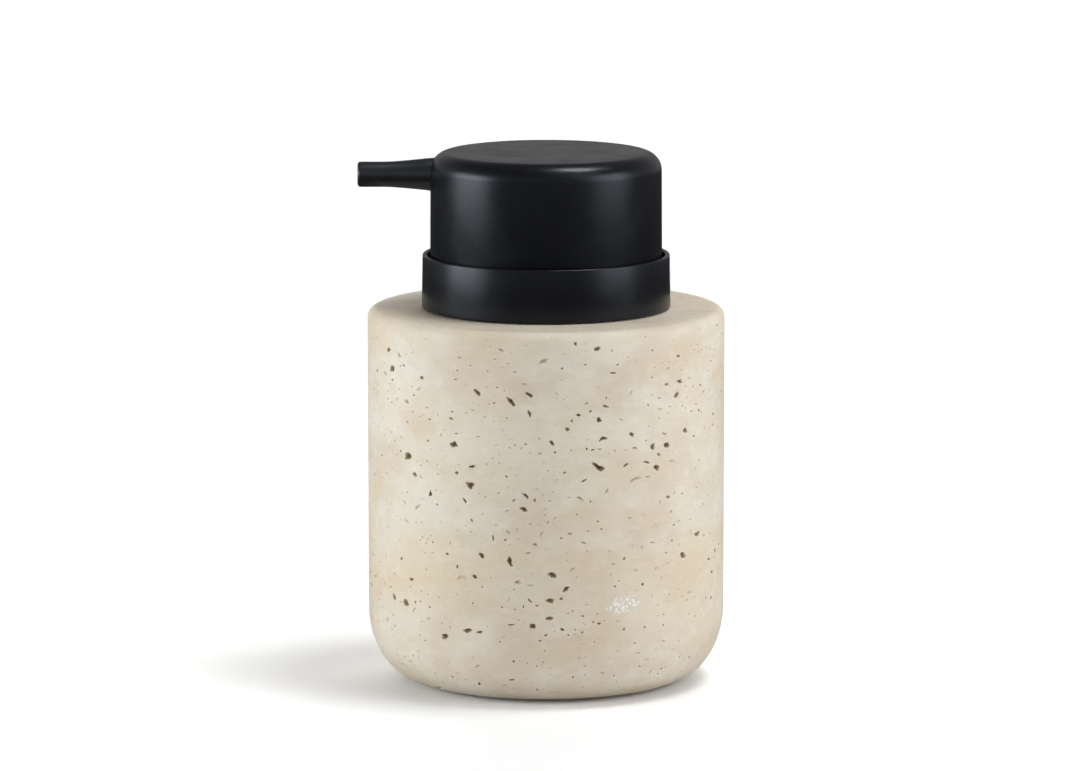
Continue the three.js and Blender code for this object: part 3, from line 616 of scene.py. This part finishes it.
def calcite_share(points):
    """How far each point lies inside the pocket of white crystal, from 0 to 1."""
    angle = FRONT + math.radians(CALCITE_ANGLE)
    height = STONE_FOOT + CALCITE_RISE * (STONE_TOP - STONE_FOOT)
    across = np.array([-math.sin(angle), math.cos(angle), 0])
    centre = np.array([STONE_RADIUS * math.cos(angle), STONE_RADIUS * math.sin(angle), height])
    away = points - centre
    x, z = away @ across, away[:, 2]
    c, n = math.cos(math.radians(CALCITE_TILT)), math.sin(math.radians(CALCITE_TILT))
    along, over = (x * c + z * n) / CALCITE_HALF_LENGTH, (z * c - x * n) / CALCITE_HALF_WIDTH
    ripple = 1 + 0.25 * np.sin(3.1 * x + 1.0) * np.cos(1.7 * x)
    return np.clip(1.5 - np.hypot(along, over) * ripple, 0, 1) * (np.abs(away).max(1) < CALCITE_LIMIT)


def make_stone(material):
    """The stone vessel with its open pits."""
    vertices, faces, marks, sharp, pits = stone_mesh()
    vertices, faces, marks, number = drop_unused(vertices, faces, marks)
    piece = new_object("stone_vessel", vertices, faces, sharp_degrees=None)
    mesh = piece.data
    bm = bmesh.new()
    bm.from_mesh(mesh)
    bmesh.ops.recalc_face_normals(bm, faces=bm.faces)
    bm.to_mesh(mesh)
    bm.free()
    sharp_pairs = {frozenset(number[v] for v in pair) for pair in sharp}
    flags = [frozenset(edge.vertices) in sharp_pairs for edge in mesh.edges]
    mesh.attributes.new("sharp_edge", "BOOLEAN", "EDGE").data.foreach_set("value", flags)
    shares = {
        "pit_shade": [depth for depth, lip in marks],
        "lip_highlight": [lip for depth, lip in marks],
        "calcite": calcite_share(np.array(vertices)),
    }
    for attribute, values in shares.items():
        mesh.attributes.new(attribute, "FLOAT", "POINT").data.foreach_set("value", values)
    stand_in(piece, "stone_body", "vessel", material)
    print("stone:", len(pits), "pits,", len(mesh.polygons), "faces")
    return piece


# ---- Black plastic ------------------------------------------------------------------------------------
def black_plastic_material(name, offset, roughness=0.31, gloss=0.28):
    """Moulded satin black plastic with a fine texture and slightly uneven gloss."""
    s = Shader(name)
    flow = s.noise(0.05, detail=2, offset=offset)
    texture = s.noise(5.5, detail=2, roughness=0.6, offset=offset)
    smudge = s.noise(0.18, detail=3, roughness=0.6, offset=offset + 7)
    shade = s.mix(s.ramp(flow, 0.3, 0.7), (0.0036, 0.0039, 0.0056, 1), (0.0050, 0.0053, 0.0074, 1))
    shade = s.mix(s.ramp(texture, 0.4, 0.8, 0.0, 0.35), shade, (0.009, 0.009, 0.0105, 1))
    rough = s.math("ADD", s.ramp(smudge, 0.3, 0.75, roughness - 0.03, roughness + 0.04),
                   s.ramp(texture, 0.2, 0.8, -0.02, 0.03))
    relief = s.bump(texture, 0.006, 0.5)
    s.surface.inputs["Specular IOR Level"].default_value = gloss
    s.surface.inputs["Specular Tint"].default_value = (0.86, 0.9, 1.0, 1.0)
    return s.finish(Base_Color=shade, Roughness=rough, Normal=relief)


def make_collar(material):
    """The plain ring on the stone, with its floor and the hole that the pump stands in."""
    low, high = box_mm("collar_ring")
    foot_radius = high.x
    rim_radius = foot_radius - COLLAR_DRAFT
    inner = rim_radius - COLLAR_WALL
    height = high.z - low.z
    e = COLLAR_ROUNDING
    profile = [(COLLAR_HOLE_RADIUS, 0.3)]
    profile += arc(foot_radius - EDGE_ROUNDING, EDGE_ROUNDING, EDGE_ROUNDING, -90, 0, 4)
    profile += arc(rim_radius - e, height - e, e, 0, 90, 6)
    profile += arc(inner + e, height - e, e, 90, 180, 6)
    profile += arc(inner - EDGE_ROUNDING, COLLAR_FLOOR + EDGE_ROUNDING, EDGE_ROUNDING, 0, -90, 4)
    profile += [(COLLAR_HOLE_RADIUS, COLLAR_FLOOR)]
    piece = turned("collar", profile, 192, low.z)
    stand_in(piece, "collar_ring", "pump_module", material)


cap_low, cap_high = box_mm("head_cap")
CAP_HEIGHT = cap_high.z - cap_low.z
CAP_RADIUS = cap_high.x - CAP_DRAFT
NOZZLE_LEVEL = (box_mm("nozzle")[0].z + box_mm("nozzle")[1].z) / 2


def cap_outline():
    """The cap's outer outline from the skirt's foot to the top's middle."""
    points = arc(CAP_RADIUS + CAP_DRAFT - EDGE_ROUNDING, EDGE_ROUNDING, EDGE_ROUNDING, -90, 0, 4)
    points += arc(CAP_RADIUS - CAP_ROUNDING, CAP_HEIGHT - CAP_ROUNDING, CAP_ROUNDING, 0, 90, 14)
    return points + [(CAP_RADIUS * share, CAP_HEIGHT) for share in (0.6, 0.3)] + [(0.0, CAP_HEIGHT)]


def cap_radius_at(z):
    """Outer radius of the cap at height z above the skirt's foot, on its side or its rounding."""
    rise = z - (CAP_HEIGHT - CAP_ROUNDING)
    if rise <= 0:
        return CAP_RADIUS - CAP_DRAFT * rise / (CAP_HEIGHT - CAP_ROUNDING)
    return CAP_RADIUS - CAP_ROUNDING + math.sqrt(max(0.0, CAP_ROUNDING ** 2 - rise ** 2))


def make_cap(material):
    """The hollow press cap, with its rounded top edge and the hole for the spout's shank."""
    inner = CAP_RADIUS - CAP_WALL
    underside = CAP_HEIGHT - CAP_TOP
    fillet = CAP_ROUNDING - CAP_WALL
    profile = [(0.0, underside)] + arc(inner - fillet, underside - fillet, fillet, 90, 0, 6)
    profile += [(inner + CAP_DRAFT, 0.2)] + cap_outline()
    piece = turned("press_cap", profile, 192, cap_low.z)
    hole = NOZZLE_SHANK_RADIUS + SHANK_GAP
    reach = 3 * CAP_ROUNDING
    cutter = turned("cutter", [(0, 0), (hole, 0), (hole, reach), (0, reach)], 32)
    cutter.rotation_euler = (0, -math.pi / 2, 0)
    cutter.location = ((CAP_ROUNDING - inner) * MM, 0, NOZZLE_LEVEL * MM)
    bore = piece.modifiers.new("bore", "BOOLEAN")
    bore.object = cutter
    bore.solver = "EXACT"
    bpy.context.view_layer.objects.active = piece
    bpy.context.view_layer.update()
    bpy.ops.object.modifier_apply(modifier=bore.name)
    bpy.data.objects.remove(cutter)
    stand_in(piece, "head_cap", "head", material)


def make_nozzle(material):
    """A round spout along -X, saddled onto the cap, with its shank inside and its bore open to the tip."""
    low, high = box_mm("nozzle")
    reach, inner_end = -low.x, -high.x
    sides = 64
    flare_end = reach - NOZZLE_TIP_LENGTH
    e = NOZZLE_TIP_ROUNDING

    def radius_at(x):
        t = min(1.0, max(0.0, (x - CAP_RADIUS) / (flare_end - CAP_RADIUS)))
        return NOZZLE_TIP_RADIUS + (NOZZLE_ROOT_RADIUS - NOZZLE_TIP_RADIUS) * (1 - t) ** 1.4

    def saddle(radius):
        """Distances from the axis at which a ring of this radius meets the cap's side."""
        places = []
        for k in range(sides):
            y, z = radius * math.cos(TURN * k / sides), radius * math.sin(TURN * k / sides)
            side = cap_radius_at(NOZZLE_LEVEL + z - cap_low.z) + SADDLE_GAP
            places.append(math.sqrt(side ** 2 - y ** 2))
        return places

    rings = [(NOZZLE_SHANK_RADIUS, [inner_end] * sides), (NOZZLE_SHANK_RADIUS, saddle(NOZZLE_SHANK_RADIUS))]
    rings += [(NOZZLE_ROOT_RADIUS, saddle(NOZZLE_ROOT_RADIUS))]
    start = CAP_RADIUS + 0.5
    for i in range(13):
        x = start + (flare_end - start) * i / 12
        rings.append((radius_at(x), [x] * sides))
    rings += [(r, [x] * sides) for r, x in arc(NOZZLE_TIP_RADIUS - e, reach - e, e, 0, 90, 6)]
    lip = 0.25
    rings += [(r, [x] * sides) for r, x in arc(NOZZLE_BORE_RADIUS + lip, reach - lip, lip, 90, 180, 4)]
    rings += [(NOZZLE_BORE_RADIUS, [inner_end] * sides)]
    vertices = []
    for r, places in rings:
        vertices += [
            (-places[k], r * math.cos(TURN * k / sides), NOZZLE_LEVEL + r * math.sin(TURN * k / sides))
            for k in range(sides)
        ]
    faces = []
    for i in range(len(rings)):
        a, b = i * sides, ((i + 1) % len(rings)) * sides
        for k in range(sides):
            before = (k - 1) % sides
            faces.append([b + before, b + k, a + k, a + before])
    piece = new_object("spout", vertices, faces)
    stand_in(piece, "nozzle", "head", material)


# ---- Return spring ------------------------------------------------------------------------------------
SPRING_WIRE = 0.9
SPRING_TURNS = 7.5
SPRING_END_PITCH = 1.15 * SPRING_WIRE  # of the closed turn at each end


def make_spring(material):
    """A round-wire compression spring with closed ends, which shortens as the head goes down."""
    low, high = box_mm("return_spring")
    radius = high.x - SPRING_WIRE / 2
    rise = high.z - low.z - SPRING_WIRE
    active = SPRING_TURNS - 2
    pitch = (rise - 2 * SPRING_END_PITCH) / active
    steps, sides = int(SPRING_TURNS * 28), 12
    centres = []
    for i in range(steps + 1):
        turn = SPRING_TURNS * i / steps
        middle = min(active, max(0.0, turn - 1))
        z = low.z + SPRING_WIRE / 2 + (turn - middle) * SPRING_END_PITCH + middle * pitch
        centres.append((TURN * turn, z))
    vertices = []
    for i, (angle, z) in enumerate(centres):
        before, after = centres[max(0, i - 1)], centres[min(steps, i + 1)]
        slope = (after[1] - before[1]) / (radius * (after[0] - before[0]))
        outward = Vector((math.cos(angle), math.sin(angle), 0))
        along = Vector((-math.sin(angle), math.cos(angle), slope)).normalized()
        upward = outward.cross(along)
        middle = radius * outward + Vector((0, 0, z))
        for k in range(sides):
            turn = TURN * k / sides
            vertices.append(middle + SPRING_WIRE / 2 * (math.cos(turn) * outward + math.sin(turn) * upward))
    faces = [list(range(sides)), list(range(steps * sides, (steps + 1) * sides))[::-1]]
    for i in range(steps):
        for k in range(sides):
            j = (k + 1) % sides
            faces.append([i * sides + j, i * sides + k, (i + 1) * sides + k, (i + 1) * sides + j])
    piece = new_object("coil_spring", vertices, faces)
    stand_in(piece, "return_spring", "spring", material)
    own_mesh(piece)


# ---- Inner pieces -------------------------------------------------------------------------------------
def moulded_material(name, tint, roughness, offset, clear=0.0, relief_mm=0.008):
    """Plain moulded plastic or rubber with flow marks and a fine surface."""
    s = Shader(name)
    flow = s.noise(0.12, detail=3, stretch=(1, 1, 0.5), offset=offset)
    fine = s.noise(4.0, detail=2, offset=offset + 5)
    darker = tuple(c * 0.86 for c in tint[:3]) + (1.0,)
    shade = s.mix(s.ramp(flow, 0.35, 0.7), tint, darker)
    rough = s.ramp(s.noise(0.5, detail=3, offset=offset + 9), 0.3, 0.7, roughness - 0.06, roughness + 0.08)
    relief = s.bump(fine, relief_mm, 0.5)
    s.surface.inputs["Transmission Weight"].default_value = clear
    return s.finish(Base_Color=shade, Roughness=rough, Normal=relief)


def steel_material():
    """Drawn spring wire and the ball's steel."""
    s = Shader("spring_steel")
    drawn = s.noise(2.5, detail=3, stretch=(1, 1, 6), offset=4)
    shade = s.mix(s.ramp(drawn, 0.35, 0.7), (0.42, 0.42, 0.43, 1), (0.6, 0.6, 0.61, 1))
    s.surface.inputs["Metallic"].default_value = 1.0
    rough = s.ramp(drawn, 0.3, 0.7, 0.22, 0.34)
    return s.finish(Base_Color=shade, Roughness=rough, Normal=s.bump(drawn, 0.004, 0.5))


def dress_inner_nodes(steel):
    """Materials and smooth shading for the CAD nodes that stay as they are."""
    white = moulded_material("white_plastic", (0.76, 0.76, 0.73, 1), 0.42, 11)
    clear = moulded_material("clear_plastic", (0.8, 0.83, 0.82, 1), 0.3, 17, 0.4, 0.0008)
    rubber = moulded_material("silicone", (0.55, 0.57, 0.56, 1), 0.6, 23)
    foam = moulded_material("pad_foam", (0.022, 0.022, 0.022, 1), 0.85, 29)
    black = black_plastic_material("closure_plastic", 31, 0.4)
    looks = {
        white: ["mouth_plug", "stem_guide", "ball_cage", "actuator_core", "stem", "piston_seat"],
        clear: ["soap_liner", "pump_housing", "dip_tube", "piston"],
        rubber: ["collar_washer", "plug_seal_upper", "plug_seal_lower", "neck_gasket", "stem_wiper"],
        foam: ["base_pad"],
        black: ["closure_cap"],
        steel: ["check_ball"],
    }
    for material, names in looks.items():
        for name in names:
            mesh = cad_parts[name].data
            mesh.materials.clear()
            mesh.materials.append(material)
            mesh.shade_smooth()
            mesh.set_sharp_from_angle(angle=math.radians(32))


# ---- Studio -------------------------------------------------------------------------------------------
CAMERA_LENS = 218.3
CAMERA_PLACE = (0.0, -1.4383, 0.2938)
CAMERA_DOWN = 9.014  # degrees below level
CAMERA_LEFT = 0.054  # degrees


def make_camera():
    """A long lens in front of the object, looking down at it by nine degrees."""
    data = bpy.data.cameras.new("camera")
    data.sensor_width = 36.0
    data.lens = CAMERA_LENS
    camera = bpy.data.objects.new("camera", data)
    camera.location = CAMERA_PLACE
    camera.rotation_euler = (math.radians(90 - CAMERA_DOWN), 0.0, math.radians(CAMERA_LEFT))
    bpy.context.scene.collection.objects.link(camera)
    bpy.context.scene.camera = camera


def softbox(name, place, target, size, watts, tint=(1, 1, 1)):
    """A rectangular area light at place, facing target."""
    data = bpy.data.lights.new(name, "AREA")
    data.shape = "RECTANGLE"
    data.size, data.size_y = size
    data.energy = watts
    data.color = tint
    light = bpy.data.objects.new(name, data)
    light.location = place
    light.rotation_euler = (Vector(target) - Vector(place)).to_track_quat("-Z", "Y").to_euler()
    bpy.context.scene.collection.objects.link(light)
    return light


# Brightness of the studio round the object, by the sine of the angle above the horizon.
STUDIO_LIGHT = [(-1.0, 0.03), (-0.12, 0.03), (0.02, 0.36), (0.3, 0.33), (0.7, 0.1), (1.0, 0.1)]
FLOOR_HALF = 6000
BACKDROP_RADIUS = 5600
BACKDROP_HEIGHT = 5000
FADE_START, FADE_END = 1200, 2400  # distances over which the floor fades into the bright backdrop


def make_floor():
    """A plain pale floor that turns evenly bright far from the object, like a lit studio sweep."""
    s = Shader("studio_floor")
    paper = s.noise(0.02, detail=2)
    shade = s.mix(s.ramp(paper, 0.3, 0.7), (0.95, 0.95, 0.95, 1), (0.97, 0.97, 0.97, 1))
    length = s.tree.nodes.new("ShaderNodeVectorMath")
    length.operation = "LENGTH"
    s._feed(length.inputs[0], s.place)
    glow = s.ramp(length.outputs["Value"], FADE_START, FADE_END, 0.0, 1.0)
    s.surface.inputs["Specular IOR Level"].default_value = 0.1
    s.surface.inputs["Emission Color"].default_value = (1, 1, 1, 1)
    material = s.finish(Base_Color=shade, Roughness=0.9, Emission_Strength=glow)
    half = FLOOR_HALF
    corners = [(-half, -half, 0), (half, -half, 0), (half, half, 0), (-half, half, 0)]
    floor = new_object("floor", corners, [[0, 1, 2, 3]])
    floor.data.materials.append(material)
    floor.visible_glossy = False  # the dark plastic mirrors the studio, not the bright floor


def make_backdrop():
    """A bright wall round the studio, seen by the camera only."""
    s = Shader("backdrop")
    paper = s.ramp(s.noise(0.002, detail=2), 0.3, 0.7, 1.0, 1.03)
    s.surface.inputs["Emission Color"].default_value = (1, 1, 1, 1)
    material = s.finish(Base_Color=(0, 0, 0, 1), Roughness=1.0, Emission_Strength=paper)
    sides = 64
    turns = [TURN * k / sides for k in range(sides)]
    ring = [(BACKDROP_RADIUS * math.cos(turn), BACKDROP_RADIUS * math.sin(turn)) for turn in turns]
    vertices = [(x, y, 0) for x, y in ring] + [(x, y, BACKDROP_HEIGHT) for x, y in ring]
    faces = [[(k + 1) % sides, k, k + sides, (k + 1) % sides + sides] for k in range(sides)]
    wall = new_object("backdrop", vertices, faces)
    wall.data.materials.append(material)
    wall.visible_diffuse = False
    wall.visible_glossy = False
    wall.visible_transmission = False
    wall.visible_shadow = False


def make_lights():
    """The studio's soft world light and its five softboxes."""
    world = bpy.data.worlds.new("studio")
    bpy.context.scene.world = world
    world.use_nodes = True
    tree = world.node_tree
    direction = tree.nodes.new("ShaderNodeTexCoord")
    split = tree.nodes.new("ShaderNodeSeparateXYZ")
    share = tree.nodes.new("ShaderNodeMath")
    share.operation = "MULTIPLY_ADD"
    share.inputs[1].default_value = 0.5
    share.inputs[2].default_value = 0.5
    ramp = tree.nodes.new("ShaderNodeValToRGB")
    tree.links.new(direction.outputs["Generated"], split.inputs["Vector"])
    tree.links.new(split.outputs["Z"], share.inputs[0])
    tree.links.new(share.outputs["Value"], ramp.inputs["Fac"])
    tree.links.new(ramp.outputs["Color"], tree.nodes["Background"].inputs["Color"])
    stops = ramp.color_ramp.elements
    while len(stops) < len(STUDIO_LIGHT):
        stops.new(0.5)
    for stop, (height, light) in zip(stops, STUDIO_LIGHT):
        stop.position = (height + 1) / 2
        stop.color = (light, light, light, 1)
    aim = (0, 0, 0.06)
    softbox("left_box", (-0.89, -0.16, 0.21), aim, (0.66, 0.41), 6.8, (0.94, 0.98, 1.0))
    softbox("right_box", (0.84, -0.33, 0.32), aim, (0.62, 0.6), 5.0, (0.95, 0.98, 1.0))
    softbox("key_box", (0.32, -0.05, 1.1), aim, (0.35, 0.35), 6.2)
    softbox("front_box", (0.5, -0.6, 0.8), aim, (0.5, 0.5), 0.7)
    back_box = softbox("back_box", (0, 2.2, 1.3), (0, 1.7, 0), (2.4, 1.4), 44)
    back_box.visible_glossy = False  # it lights the floor behind, and would show in the cap's rounded edge
    bpy.context.scene.view_settings.view_transform = "Standard"


make_camera()
make_stone(travertine_material())
make_collar(black_plastic_material("collar_plastic", 3))
make_cap(black_plastic_material("cap_plastic", 7))
make_nozzle(black_plastic_material("spout_plastic", 13, 0.36, 0.9))
steel = steel_material()
make_spring(steel)
dress_inner_nodes(steel)
make_floor()
make_backdrop()
make_lights()
